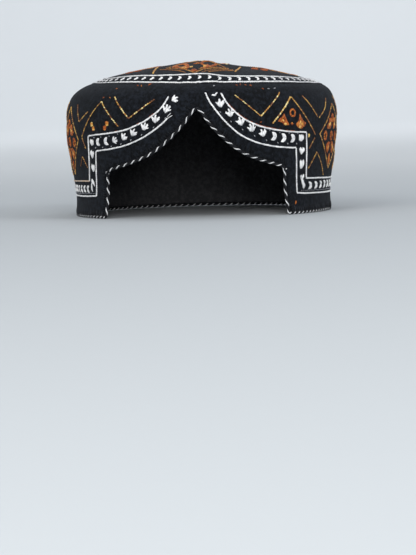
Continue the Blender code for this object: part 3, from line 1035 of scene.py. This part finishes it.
# The gold lattice: one row of diamonds round the band in back stitch, with a V above and an
# upturned V below each gap. The silk is dyed in turns, so it runs from gold to burnt orange.
SILK_BURNT = (0.11, 0.034, 0.006, 1.0)
SILK_ORANGE = (0.37, 0.14, 0.022, 1.0)
SILK_GOLD = (0.62, 0.37, 0.07, 1.0)
SILK_PALE = (0.86, 0.73, 0.34, 1.0)
BACK_STITCH = 1.55
BACK_SLANT = 0.1
GOLD_LINES_FRONT = [
    ([(27.9, 74.7), (44.3, 61.5)], 0.75),
    ([(44.3, 61.5), (61.7, 75.7)], 0.95),
    ([(69.9, 72.9), (52.8, 56.7)], 1.1),
    ([(-23.5, 73.4), (-41.3, 62.1)], 0.9),
    ([(-41.3, 62.1), (-55.2, 75.6)], 0.9),
    ([(-49.5, 57.3), (-66.5, 72.8)], 0.85),
]
GOLD_LINES_FLANK = [
    ([(70.1, 72.7), (82.0, 60.6), (94.4, 48.7)], 0.75),
    ([(93.9, 47.0), (87.5, 40.3)], 0.65),
    ([(82.1, 73.2), (97.0, 59.6)], 0.65),
    ([(98.9, 59.2), (108.6, 64.8), (114.6, 71.2)], 0.65),
    ([(88.8, 28.0), (98.2, 38.0)], 0.7),
    ([(98.2, 38.0), (106.6, 31.0), (113.4, 22.9)], 0.55),
    ([(-66.5, 72.8), (-77.4, 63.3), (-89.1, 51.0)], 0.6),
    ([(-89.1, 50.6), (-85.4, 43.8)], 0.6),
    ([(-98.0, 71.3), (-92.2, 60.4)], 0.6),
    ([(-92.2, 60.4), (-80.3, 66.6)], 0.6),
    ([(-92.4, 38.8), (-86.4, 31.6)], 0.6),
]
FLANK_DYE = (0.05, 0.72)
Diamond = namedtuple("Diamond", "left right top top_height foot")
DIAMONDS = [
    Diamond(100.5, 149.0, 126.2, 67.8, 122.3),
    Diamond(158.7, 205.9, 182.3, 68.6, 182.3),
    Diamond(216.4, 263.6, 240.0, 68.6, 240.0),
    Diamond(HALF_GIRTH - 23.6, HALF_GIRTH + 23.6, HALF_GIRTH, 68.6, HALF_GIRTH),
    Diamond(-262.6, -215.4, -239.0, 68.6, -239.0),
    Diamond(-201.6, -154.4, -178.0, 68.6, -178.0),
    Diamond(-137.7, -95.3, -112.0, 69.8, -116.5),
]
DIAMOND_MIDDLE = 49.2
DIAMOND_FOOT = 27.0
GAPS = (153.9, 211.1, 268.9, -268.3, -208.5, -146.0)
GapVee = namedtuple("GapVee", "point_height aside end_height")
GAP_VEES = [GapVee(60.2, 16.5, 72.8), GapVee(37.8, 13.0, 26.0)]
FAINT_LEG = [(-92.4, 38.8), (-98.5, 32.5)]
TAN_DEEP = (0.26, 0.145, 0.070, 1.0)
TAN_THREAD = (0.50, 0.36, 0.25, 1.0)
TAN_PALE = (0.62, 0.55, 0.50, 1.0)


def back_stitches(points, width, shades=(0.0, 1.0), pitch=BACK_STITCH):
    """Stitches laid end to end, each in its own turn of the dye."""
    places = smooth_run(points, pitch)
    stitches = []
    for one, two in zip(places, places[1:]):
        drift = hand.uniform(-0.1, 0.1)
        girth = width * hand.uniform(0.85, 1.15)
        dye = shades[0] + (shades[1] - shades[0]) * hand.betavariate(0.8, 0.7)
        stitches.append(slanted(one, two, drift, BACK_SLANT, girth, dye))
    return stitches


gold_stitches = []
for points, width in GOLD_LINES_FRONT:
    gold_stitches += back_stitches(points, width)
for points, width in GOLD_LINES_FLANK:
    gold_stitches += back_stitches(points, width, FLANK_DYE)
for diamond in DIAMONDS:
    corners = [
        (diamond.left, DIAMOND_MIDDLE),
        (diamond.top, diamond.top_height),
        (diamond.right, DIAMOND_MIDDLE),
        (diamond.foot, DIAMOND_FOOT),
    ]
    for one, two in zip(corners, corners[1:] + corners[:1]):
        gold_stitches += back_stitches([one, two], 0.7, FLANK_DYE)
gold_stitches += back_stitches(FAINT_LEG, 0.4, (0.0, 0.1))
for gap in GAPS:
    for side in (-1, 1):
        for vee in GAP_VEES:
            leg = [(gap, vee.point_height), (gap + vee.aside * side, vee.end_height)]
            gold_stitches += back_stitches(leg, 0.65, FLANK_DYE)
gold_dyes = [(0.0, SILK_BURNT), (0.35, SILK_ORANGE), (0.7, SILK_GOLD), (1.0, SILK_PALE)]
gold_silk = thread_finish("gold_silk", gold_dyes, roughness=0.36, gloss=0.6, sheen=0.0)
sew("band_gold_lattice", on_band, gold_stitches, gold_silk, height=0.3)
# A stretch of the upper border line on the left was sewn with tan thread instead of white.
tan_dyes = [(0.0, TAN_DEEP), (0.5, TAN_THREAD), (1.0, TAN_PALE)]
tan_thread = thread_finish("tan_cotton", tan_dyes, roughness=0.6, gloss=0.3, sheen=0.05)
tan_stitches = rope_line(LINE_ABOVE_TAN, width=0.8, shades=(0.1, 1.0))
sew("band_tan_line", on_band, tan_stitches, tan_thread, height=0.3)


# The orange fillings: rings and leaves in satin stitch inside the diamonds, in silk that runs
# from rust to orange, with paler gold laid into their middles.
SILK_RUST = (0.13, 0.024, 0.006, 1.0)
SILK_FLAME = (0.44, 0.098, 0.012, 1.0)
SILK_AMBER = (0.58, 0.27, 0.040, 1.0)
SILK_STRAW = (0.80, 0.59, 0.20, 1.0)
SATIN_GAP = 0.62
LONGEST_STRAND = 4.6
OVAL_SIDES = 16
STRAY_OFFSET = 0.62
Filling = namedtuple("Filling", "outline hole lie shades")
RUST_RED = (0.02, 0.6)
STRAW = (0.75, 1.0)
FILLINGS_SUNK = 0.3
DIAMOND_RINGS = [(-12.6, -1.0), (0.0, -1.4), (12.4, -1.6)]
DIAMOND_LEAVES = [
    ([(2.6, 9.2), (3.1, 5.4), (4.6, 2.8), (9.6, 3.0), (11.4, 5.0), (8.6, 6.6), (7.4, 10.0)],
     90, 20, RUST_RED),
    ([(5.2, 7.4), (4.9, 4.4), (7.6, 3.9), (8.4, 6.2)], 0, 60, STRAW),
    ([(1.8, -5.6), (4.8, -5.0), (8.8, -6.6), (9.2, -9.2), (5.6, -12.6), (3.4, -10.6)],
     90, -30, RUST_RED),
    ([(4.2, -6.8), (7.0, -7.4), (6.8, -9.8), (4.6, -9.4)], 60, 0, (0.55, 0.95)),
]
DIAMOND_DROP = [(0.0, -12.4), (-2.3, -15.6), (-0.9, -19.4), (0.9, -19.4), (2.3, -15.6)]
STRAY_ENDS = [
    (31.5, 81.3, 0.15), (34.7, 81.0, 0.25), (38.1, 80.6, 0.2), (41.7, 80.2, 0.25),
    (49.4, 78.0, 0.2), (44.2, 57.9, 0.3), (-41.6, 81.9, 0.25), (-38.3, 81.8, 0.5),
    (-32.1, 82.4, 0.3), (-58.6, 80.3, 0.4), (-65.9, 75.1, 0.2), (-59.4, 75.0, 0.5),
]
RIM_STRAY = Stitch((75.9, 6.2), (76.7, 8.4), 0.9, 0.45)
WHITE_STRAYS = [
    Stitch((14.9, 80.5), (16.1, 80.7), 0.6, 0.2),
    Stitch((53.2, 78.0), (54.9, 77.9), 0.6, 0.0),
    Stitch((58.4, 78.0), (60.2, 78.3), 0.6, 0.1),
]


def oval(along, height, half_width, half_height):
    turns = [2 * math.pi * i / OVAL_SIDES for i in range(OVAL_SIDES)]
    return [(along + half_width * math.cos(t), height + half_height * math.sin(t)) for t in turns]


def ring(along, height, half_width, half_height, thickness=1.35):
    hole = oval(along, height, half_width - thickness, half_height - thickness)
    return Filling(oval(along, height, half_width, half_height), hole, 35, RUST_RED)


def crossings(outline, level):
    """Where a level line crosses an outline."""
    found = []
    for (u, v), (next_u, next_v) in zip(outline, outline[1:] + outline[:1]):
        if (v > level) != (next_v > level):
            found.append(u + (next_u - u) * (level - v) / (next_v - v))
    return found


def satin_stitches(filling, width=0.85, gap=SATIN_GAP):
    """Side by side strands that fill an outline, leaving its hole open."""
    outline, hole = (laid(line, 0, 0, -filling.lie) for line in (filling.outline, filling.hole))
    low, high = min(v for _, v in outline), max(v for _, v in outline)
    rows = max(1, round((high - low) / gap))
    stitches = []
    for i in range(rows):
        level = low + (high - low) * (i + 0.5) / rows
        ends = sorted(crossings(outline, level) + crossings(hole, level))
        for start, end in zip(ends[::2], ends[1::2]):
            if end - start < 0.45:
                continue
            pieces = max(1, math.ceil((end - start) / LONGEST_STRAND))
            for k in range(pieces):
                first = start + (end - start) * k / pieces - hand.uniform(0.0, 0.15)
                last = start + (end - start) * (k + 1) / pieces + hand.uniform(0.0, 0.15)
                places = laid([(first, level), (last, level)], 0, 0, filling.lie)
                shade = hand.uniform(*filling.shades)
                stitches.append(Stitch(*places, width * hand.uniform(0.9, 1.1), shade))
    return stitches


FRONT_FILLINGS = [
    ring(69.7, 62.9, 2.8, 2.65, 1.1),
    Filling([(62.2, 62.8), (56.9, 57.9), (60.5, 57.0), (62.0, 55.6), (66.4, 55.3), (64.3, 58.6)],
            [(61.8, 60.2), (60.6, 58.9), (62.3, 58.6)], 48, RUST_RED),
    Filling([(60.0, 59.0), (61.0, 59.4), (64.6, 56.1), (63.4, 55.5)], [], -42, STRAW),
    Filling([(61.8, 57.4), (62.8, 57.6), (64.4, 55.4), (62.6, 55.4)], [], -60, STRAW),
    Filling([(76.6, 62.0), (74.8, 57.4), (72.2, 55.9), (74.6, 53.7), (77.6, 52.8), (81.2, 54.2),
             (82.2, 56.6), (79.3, 58.2)], [], 82, RUST_RED),
    Filling([(76.9, 58.6), (75.0, 55.8), (74.8, 53.6), (77.0, 53.0), (77.9, 55.6)], [], 70, STRAW),
    Filling([(78.2, 57.4), (77.9, 54.6), (79.2, 54.0), (80.3, 56.2)], [], 50, (0.6, 1.0)),
    Filling([(67.4, 56.0), (68.8, 57.0), (70.4, 56.2), (69.0, 55.3)], [], 0, RUST_RED),
    Filling([(-76.9, 59.8), (-74.4, 60.0), (-73.6, 57.9), (-75.9, 57.6)], [], -8, (0.4, 1.0)),
    Filling([(-75.2, 57.2), (-72.6, 57.4), (-72.0, 55.2), (-74.4, 54.9)], [], -8, (0.3, 1.0)),
    Filling([(-60.9, 60.3), (-58.0, 60.4), (-58.2, 58.0), (-60.6, 57.9)], [], 10, (0.4, 1.0)),
    Filling([(-63.0, 57.6), (-60.0, 57.8), (-60.6, 55.2), (-63.0, 55.2)], [], 10, (0.2, 0.9)),
    Filling([(85.7, 49.4), (86.9, 49.6), (87.0, 47.4), (86.0, 47.3)], [], 90, STRAW),
]


def diamond_fillings(diamond):
    """Rings, leaf pairs and a drop, placed about the middle of a diamond and leaning with it."""

    def up(u, v):
        lean = (diamond.top - diamond.foot) * max(v, 0.0) / (diamond.top_height - DIAMOND_MIDDLE)
        return diamond.foot + lean + u, DIAMOND_MIDDLE - FILLINGS_SUNK + v

    fillings = [ring(*up(0.0, 10.0), 2.5, 2.9, 1.15)]
    fillings += [ring(*up(u, v), 2.7, 3.1) for u, v in DIAMOND_RINGS]
    for side in (-1, 1):
        for line, lie, lean, shades in DIAMOND_LEAVES:
            outline = [up(u * side, v) for u, v in line]
            fillings.append(Filling(outline, [], lie + lean * side, shades))
    fillings.append(Filling([up(u, v) for u, v in DIAMOND_DROP], [], 90, RUST_RED))
    return fillings


orange_stitches = []
for filling in FRONT_FILLINGS:
    orange_stitches += satin_stitches(filling, width=0.78, gap=0.55)
for diamond in DIAMONDS:
    for filling in diamond_fillings(diamond):
        orange_stitches += satin_stitches(filling)
# Stray ends of orange show along the upper border line, at the shoulder and by the rim.
for run in (LINE_ABOVE_RIGHT[0], LINE_ABOVE_LEFT[0]):
    places = smooth_run(run, 2.0)
    for one, two in zip(places, places[1:]):
        offset, chance = (STRAY_OFFSET, 0.4) if two[0] > 0 else (-STRAY_OFFSET, 0.15)
        if hand.random() < chance:
            orange_stitches.append(slanted(one, two, offset, 0.0, 0.42, 0.2))
for along, height, shade in STRAY_ENDS:
    lean = hand.uniform(-0.5, 0.5)
    start, end = (along - 0.6, height - lean), (along + 0.6, height + lean)
    orange_stitches.append(Stitch(start, end, 0.5, shade))
orange_stitches.append(RIM_STRAY)
orange_dyes = [(0.0, SILK_RUST), (0.4, SILK_FLAME), (0.72, SILK_AMBER), (1.0, SILK_STRAW)]
orange_silk = thread_finish("orange_silk", orange_dyes, roughness=0.5, gloss=0.3, sheen=0.0)
sew("band_orange_fillings", on_band, orange_stitches, orange_silk, height=0.32)
sew("shoulder_white_ends", on_band, WHITE_STRAYS, white_thread)


# The crown's border: the same two rope-stitched lines right round the crown's edge, with
# arrowheads between them that all point the same way round. It is sewn finer beyond the front.
CrownTurn = namedtuple("CrownTurn", "bearing reach")
OUTER_LINE = [
    CrownTurn(*row)
    for row in (
        (-180, 0.980), (-150, 0.982), (-120, 0.980), (-90, 0.982), (-61, 0.988), (-45, 0.982),
        (-30, 0.983), (-15, 0.987), (-4, 0.993), (-1, 0.994), (2, 0.983), (12, 0.981),
        (27, 0.979), (45, 0.975), (62, 0.974), (90, 0.979), (120, 0.982), (150, 0.979),
        (180, 0.980),
    )
]
INNER_LINE = [
    CrownTurn(*row)
    for row in (
        (-180, 0.905), (-120, 0.907), (-90, 0.905), (-60, 0.914), (-47, 0.902), (-35, 0.897),
        (-22, 0.906), (-10, 0.909), (3, 0.895), (14, 0.918), (27, 0.916), (41, 0.897),
        (58, 0.895), (90, 0.905), (120, 0.903), (180, 0.905),
    )
]
CROWN_ARROWS = 71
FRONT_ARC = 46
BEYOND_FRONT = (0.2, 0.75)
FINER_BY = 0.17


def crown_place(bearing, reach):
    """A place on the crown, at a share of the way from its middle to its seam."""
    return (
        CROWN_MIDDLE + CROWN_HALF_WIDTH * reach * math.sin(bearing),
        -CROWN_HALF_LENGTH * reach * math.cos(bearing),
    )


crown_stitches = []
border_lines = []
for rows, width in ((OUTER_LINE, 0.95), (INNER_LINE, 0.8)):
    fine = [
        along_table(rows[k : k + 2], rows[max(k - 1, 0)], rows[min(k + 2, len(rows) - 1)], m / 12)
        for k in range(len(rows) - 1)
        for m in range(12)
    ] + [rows[-1]]
    line = [crown_place(math.radians(turn.bearing), turn.reach) for turn in fine]
    first = next(k for k, turn in enumerate(fine) if turn.bearing > -FRONT_ARC)
    last = next(k for k, turn in enumerate(fine) if turn.bearing > FRONT_ARC)
    crown_stitches += rope_line(line[first : last + 1], width=width)
    for run in (line[: first + 1], line[last:]):
        crown_stitches += rope_line(run, width=width - FINER_BY, shades=BEYOND_FRONT)
    border_lines.append(fine)
for i in range(CROWN_ARROWS):
    degrees = (360 * i / CROWN_ARROWS + 180.6) % 360 - 180
    nearest = [min(line, key=lambda turn: abs(turn.bearing - degrees)) for line in border_lines]
    bearing = math.radians(degrees)
    x, y = crown_place(bearing, sum(turn.reach for turn in nearest) / 2)
    ahead = math.atan2(CROWN_HALF_LENGTH * math.sin(bearing), CROWN_HALF_WIDTH * math.cos(bearing))
    size, shades = (0.6, (0.45, 0.95)) if abs(degrees) < FRONT_ARC else (0.5, BEYOND_FRONT)
    arrow = Motif(ARROWHEAD[:6], x, y, math.degrees(ahead) + 180, size)
    crown_stitches += motif_stitches(arrow, size * 1.1, shades)
sew("crown_white_border", on_crown, crown_stitches, white_thread, height=0.34)


# The crown's middle: gold bars divide it into a middle, four sides and four corners, each
# with its own orange flower or leaves, in the same silks as the band.
FRONT_FLOWER = [
    Filling([(-14.6, -47.0), (-10.6, -51.5), (-7.4, -62.0), (-4.2, -66.5), (-3.2, -58.0),
             (-4.4, -44.0), (-8.0, -27.0), (-11.6, -28.0), (-13.6, -36.0)],
            [(-12.2, -43.5), (-7.8, -54.0), (-6.2, -48.0), (-8.6, -35.0), (-11.4, -36.0)],
            80, RUST_RED),
    Filling([(-9.6, -54.5), (-7.0, -63.0), (-4.6, -64.5), (-4.6, -57.0), (-7.4, -52.0)], [],
            60, (0.6, 0.95)),
    Filling([(-2.4, -73.4), (0.3, -74.8), (3.0, -72.6), (1.6, -69.4), (-1.2, -69.4)], [],
            0, RUST_RED),
    Filling([(-2.9, -56.6), (-1.0, -56.6), (-1.0, -60.4), (-2.9, -60.4)], [], 90, STRAW),
    ring(7.6, -37.0, 5.2, 17.5, 1.6),
    Filling([(4.4, -65.5), (6.6, -60.0), (7.4, -47.0), (9.2, -52.0), (12.6, -36.0), (11.2, -50.0),
             (8.8, -60.5), (6.4, -66.0)], [], 75, RUST_RED),
    Filling([(5.2, -58.0), (6.8, -50.5), (8.0, -56.0), (6.6, -61.5)], [], 75, (0.6, 0.9)),
    Filling([(-1.8, -43.6), (1.4, -45.0), (3.2, -40.0), (0.4, -37.5)], [], 20, RUST_RED),
]
FLOWER_DIAMOND = [(1.0, -78.0), (20.5, -46.0), (3.0, -13.0), (-18.5, -48.0), (1.0, -78.0)]
Flower = namedtuple("Flower", "middle turn size dye")
FLOWERS = [
    Flower((0.0, -46.0), 0, 1.0, 1.0),
    Flower((46.0, 14.0), 90, 0.5, 0.6),
    Flower((3.0, 46.0), 180, 0.95, 1.0),
    Flower((-39.0, 14.0), -90, 0.5, 0.6),
]
CORNER_FLOWERS = [(39.0, -27.0, 0.5), (-41.0, -22.0, 0.45), (39.0, 39.0, 0.6), (-34.0, 39.0, 0.6)]
ROSETTE_PETALS = 8
ROSETTE_OUT = 4
BARS = [
    ((-25.3, -66.1), (-25.7, -24.0)), ((25.3, -61.5), (26.8, -20.0)),
    ((-25.5, 24.0), (-25.3, 65.5)), ((26.8, 21.0), (26.0, 65.0)),
]
FAINT_LINES = [
    ((5.5, -76.5), (23.5, -51.0)), ((9.5, -75.5), (24.2, -55.5)),
    ((3.0, -69.5), (16.0, -47.5)), ((-4.5, -76.5), (-22.0, -52.0)),
]
LEAF = [(0.0, 0.0), (3.4, 3.4), (3.0, 8.2), (0.0, 12.0), (-3.0, 8.2), (-3.4, 3.4)]
LEAF_MIDDLE = [(0.0, 2.6), (1.4, 4.6), (1.2, 7.4), (0.0, 9.4), (-1.2, 7.4), (-1.4, 4.6)]


def leaf_at(x, y, points_to, size, dye=1.0):
    """A pointed leaf with a paler middle, dyed more or less deeply."""
    leaf = []
    for line, shades in ((LEAF, RUST_RED), (LEAF_MIDDLE, (0.65, 0.95))):
        outline = laid(line, x, y, points_to - 90, size)
        leaf.append(Filling(outline, [], points_to + 50, tuple(shade * dye for shade in shades)))
    return leaf


def flower_line(line, flower):
    """A line of the front flower as another flower has it: moved, turned and made smaller."""
    centred = [(x, y - FLOWERS[0].middle[1]) for x, y in line]
    return laid(centred, *flower.middle, flower.turn, flower.size)


crown_gold = []
for bar in BARS:
    crown_gold += back_stitches(bar, 1.2, (0.25, 0.7), pitch=2.2)
for line in FAINT_LINES:
    crown_gold += back_stitches(line, 0.4, (0.0, 0.4))
crown_fillings = []
for flower in FLOWERS:
    for outline, hole, lie, shades in FRONT_FLOWER:
        dyed = tuple(shade * flower.dye for shade in shades)
        lines = flower_line(outline, flower), flower_line(hole, flower)
        crown_fillings.append(Filling(*lines, lie + flower.turn, dyed))
    diamond = flower_line(FLOWER_DIAMOND, flower)
    for one, two in zip(diamond, diamond[1:]):
        crown_gold += back_stitches([one, two], 0.55, (0.0, 0.55))
for x, y, size in CORNER_FLOWERS:
    for petal in range(45, 360, 90):
        turn = math.radians(petal)
        crown_fillings += leaf_at(x + math.cos(turn), y + math.sin(turn), petal, size, 0.6)
for petal in range(ROSETTE_PETALS):
    degrees = 360 / ROSETTE_PETALS * (petal + 0.5)
    turn = math.radians(degrees)
    x, y = CROWN_MIDDLE + ROSETTE_OUT * math.cos(turn), ROSETTE_OUT * math.sin(turn)
    crown_fillings += leaf_at(x, y, degrees, 0.8)
crown_fillings.append(ring(CROWN_MIDDLE, 0.0, 3.6, 3.6, 1.4))
crown_orange = []
for filling in crown_fillings:
    crown_orange += satin_stitches(filling, width=0.9, gap=0.75)
star = [crown_place(math.radians(45 * k), 0.13 if k % 2 else 0.2) for k in range(9)]
for one, two in zip(star, star[1:]):
    crown_gold += back_stitches([one, two], 0.85)
sew("crown_gold_bars", on_crown, crown_gold, gold_silk, height=0.34)
sew("crown_orange_flowers", on_crown, crown_orange, orange_silk, height=0.34)


# The floor: a plain pale sheet of paper under the cap. It runs back level and then curves up
# behind the cap, so that no edge shows, and it is painted a little paler towards the back as
# painted light.
FLOOR_WIDTH = 30
FLOOR_DEPTH = 7
FLOOR_COLOUR = (0.47, 0.495, 0.515, 1.0)
BACK_PAINTED_PALER = (0.60, 0.62, 0.635, 1.0)
SWEEP = [(0.4, 0), (0.4, 0), (0.55, 0.08), (0.5, 0.25), (0.42, 0.45), (0.22, 0.7), (0.05, 0.9)]
WALL = (0.0, 3.5)
bpy.ops.object.select_all(action="DESELECT")
bpy.ops.mesh.primitive_plane_add(size=1.0, location=(0, 0, 0))
floor = bpy.context.object
floor.name = "floor"
bpy.ops.object.mode_set(mode="EDIT")
bpy.ops.mesh.select_all(action="SELECT")
bpy.ops.transform.resize(value=(FLOOR_WIDTH, FLOOR_DEPTH, 1))
bpy.ops.mesh.select_mode(type="EDGE")
bpy.ops.object.mode_set(mode="OBJECT")
for face in floor.data.polygons:
    face.select = False
for vertex in floor.data.vertices:
    vertex.select = vertex.co.y > 0
for edge in floor.data.edges:
    edge.select = all(floor.data.vertices[v].select for v in edge.vertices)
bpy.ops.object.mode_set(mode="EDIT")
for ahead, up in (*SWEEP, WALL):
    bpy.ops.mesh.extrude_region_move(TRANSFORM_OT_translate={"value": (0, ahead, up)})
bpy.ops.object.mode_set(mode="OBJECT")
curve = floor.modifiers.new("soft sweep", "SUBSURF")
curve.levels = curve.render_levels = 2
press_on(floor, curve)
bpy.ops.object.shade_smooth()
paper = Finish("pale_floor_paper", Specular_IOR_Level=0.2)
paper_place = paper.place()
paper_back = paper.node("ShaderNodeSeparateXYZ", {}, {0: paper_place}, 1)
# Painted light: the paper turns from the floor colour to a paler colour towards the back, with a
# little random tone.
paper_painted_light = paper_back.rise(0.1, 1.3) + paper.noise(paper_place, 1.1, 2.0) * 0.06
paper.feed("Base Color", paper.mix(paper_painted_light, FLOOR_COLOUR, BACK_PAINTED_PALER))
paper.feed("Roughness", paper.noise(paper_place, 60.0) * 0.1 + 0.82)
floor.data.materials.append(paper.material)


# The light: a broad soft lamp to the left in front, a weaker one to the right, a small one
# beside the camera, a faint one above, one on the sheet behind, and a pale room all round.
def soft_lamp(name, place, size, power, colour, aim=(0.0, 0.0, 0.05)):
    lamp = bpy.data.lights.new(name, "AREA")
    lamp.shape = "DISK"
    lamp.size = size
    lamp.energy = power
    lamp.color = colour
    holder = bpy.data.objects.new(name, lamp)
    holder.location = place
    holder.rotation_euler = (Vector(aim) - Vector(place)).to_track_quat("-Z", "Y").to_euler()
    bpy.context.scene.collection.objects.link(holder)


soft_lamp("lamp_left", (-1.0, -2.0, 1.3), 1.4, 22, (1.0, 0.985, 0.96))
soft_lamp("lamp_right", (1.7, -1.1, 1.0), 1.3, 16, (0.95, 0.97, 1.0))
soft_lamp("lamp_above", (0.0, 0.5, 2.4), 1.8, 6, (0.97, 0.98, 1.0))
soft_lamp("lamp_front", (0.3, -2.7, 0.7), 0.9, 30, (1.0, 0.99, 0.97))
soft_lamp("lamp_backdrop", (0.0, 3.0, 3.2), 2.0, 88, (0.97, 0.98, 1.0), (0.0, 6.0, 0.15))
room = bpy.data.worlds.new("pale_room")
room.use_nodes = True
room.node_tree.nodes["Background"].inputs["Color"].default_value = (0.86, 0.91, 0.96, 1.0)
room.node_tree.nodes["Background"].inputs["Strength"].default_value = 0.6
bpy.context.scene.world = room
bpy.context.scene.view_settings.view_transform = "Standard"


# The camera: at the height of the shoulder, 1.8 m away and slightly to the wearer's left of
# the front, tilted down a little and rolled by a degree and a half.
CAMERA_AWAY = 1.8
CAMERA_HEIGHT = 0.078
CAMERA_BEARING = math.radians(3.5)
CAMERA_ROLL = math.radians(-1.5)
AIM_ASIDE = 0.0014
AIM_HEIGHT = -0.0424
FRAME_HEIGHT = 0.357
SENSOR = 36.0

sine, cosine = math.sin(CAMERA_BEARING), math.cos(CAMERA_BEARING)
stand = Vector((sine * CAMERA_AWAY, -cosine * CAMERA_AWAY, CAMERA_HEIGHT))
aside = Vector((cosine, sine, 0.0)) * AIM_ASIDE
lens = bpy.data.cameras.new("camera")
lens.sensor_width = SENSOR
lens.lens = SENSOR * CAMERA_AWAY / FRAME_HEIGHT
lens.clip_start, lens.clip_end = 0.05, 30.0
camera = bpy.data.objects.new("camera", lens)
gaze = (Vector((0.0, 0.0, AIM_HEIGHT)) - stand).to_track_quat("-Z", "Y")
camera.matrix_world = (
    Matrix.Translation(stand + aside)
    @ gaze.to_matrix().to_4x4()
    @ Matrix.Rotation(CAMERA_ROLL, 4, "Z")
)
bpy.context.scene.collection.objects.link(camera)
bpy.context.scene.camera = camera
